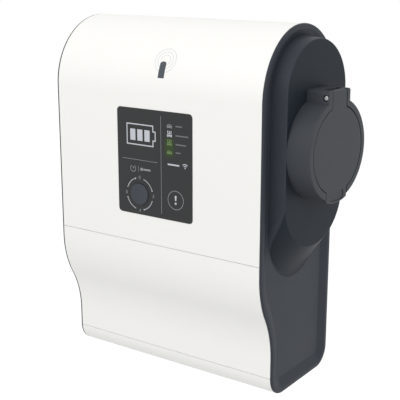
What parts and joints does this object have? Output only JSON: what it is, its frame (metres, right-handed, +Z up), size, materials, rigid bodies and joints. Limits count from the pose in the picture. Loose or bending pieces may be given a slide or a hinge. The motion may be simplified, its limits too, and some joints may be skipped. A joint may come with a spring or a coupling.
{
  "type": "ev wallbox",
  "caption": "Wall-mounted charging point for electric cars: white cover over a rounded top, dark side panels, display with a timer dial, and a side socket under a sprung hinged lid.",
  "frame": {"origin": "centre of the four wall holes, on the wall plane", "axes": "+Z up, +X to the right seen from the front, -Y out of the wall towards the user"},
  "size_m": [0.3651, 0.1718, 0.4616],
  "materials": {
    "cover_plastic": "smooth satin, warm white",
    "panel_plastic": "fine satin, dark slate grey",
    "socket_plastic": "fine satin, dark grey",
    "insert_plastic": "satin black",
    "seal_rubber": "matt black",
    "steel": "bright zinc",
    "brass": "plain",
    "display_plastic": "satin printed foil, dark grey",
    "dial_plastic": "satin, blue-grey",
    "circuit_board": "solder resist, green",
    "clear_plastic": "clear moulding",
    "encoder_metal": "pressed can",
    "relay_plastic": "black",
    "capacitor_sleeve": "dark sleeve",
    "module_plastic": "light grey",
    "terminal_plastic": "grey",
    "gland_plastic": "dark grey"
  },
  "bodies": {
    "housing": {"upper_cover": "cover_plastic", "lower_cover": "cover_plastic", "back_housing": "cover_plastic", "right_side_panel": "panel_plastic", "left_side_panel": "panel_plastic", "socket_housing": "socket_plastic", "socket_insert": "insert_plastic", "contact_carrier": "insert_plastic", "plug_lock_drive": "insert_plastic", "right_panel_seal": "seal_rubber", "left_panel_seal": "seal_rubber", "socket_housing_gasket": "seal_rubber", "gland_seal": "seal_rubber", "panel_screws": "steel", "upper_cover_screws": "steel", "lower_cover_screws": "steel", "socket_housing_screws": "steel", "socket_insert_screws": "steel", "display_board_screws": "steel", "reader_board_screws": "steel", "rail_screws": "steel", "control_board_screws": "steel", "terminal_block_screws": "steel", "earth_bar_screws": "steel", "hinge_pin": "steel", "lid_spring": "steel", "terminal_clamp_screws": "steel", "earth_clamp_screws": "steel", "mounting_rail": "steel", "power_contacts": "brass", "signal_contacts": "brass", "earth_bar": "brass", "display_panel": "display_plastic", "display_board": "circuit_board", "reader_board": "circuit_board", "control_board": "circuit_board", "light_guides": "clear_plastic", "dial_encoder": "encoder_metal", "board_relays": "relay_plastic", "board_capacitors": "capacitor_sleeve", "contactor": "module_plastic", "power_supply": "module_plastic", "energy_meter": "module_plastic", "terminal_block": "terminal_plastic", "gland_body": "gland_plastic", "gland_nut": "gland_plastic", "gland_locknut": "gland_plastic"},
    "lid": {"socket_lid": "socket_plastic", "lid_gasket": "seal_rubber"},
    "lock_pin": {"plug_lock_pin": "steel"},
    "dial_plunger": {"dial_shaft": "steel"},
    "dial": {"timer_dial": "dial_plastic"}
  },
  "joints": [
    {"name": "lid_hinge", "type": "hinge", "parent": "housing", "child": "lid", "pos_m": [0.20042, -0.08698, 0.145], "axis": [-0.0797, -0.9968, 0], "range_deg": [0, 100], "stiffness_Nm_per_rad": 0.03, "springref_deg": -28.65},
    {"name": "lock_slide", "type": "slide", "parent": "housing", "child": "lock_pin", "axis": [0, 0, -1], "range_m": [0, 0.006]},
    {"name": "dial_push", "type": "slide", "parent": "housing", "child": "dial_plunger", "axis": [0, 1, 0], "range_m": [0, 0.0012], "stiffness_N_per_m": 1500, "springref_m": -0.0008},
    {"name": "dial_turn", "type": "hinge", "parent": "dial_plunger", "child": "dial", "pos_m": [-0.0215, -0.17, 0.015], "axis": [0, 1, 0], "range_deg": [0, 270]}
  ]
}
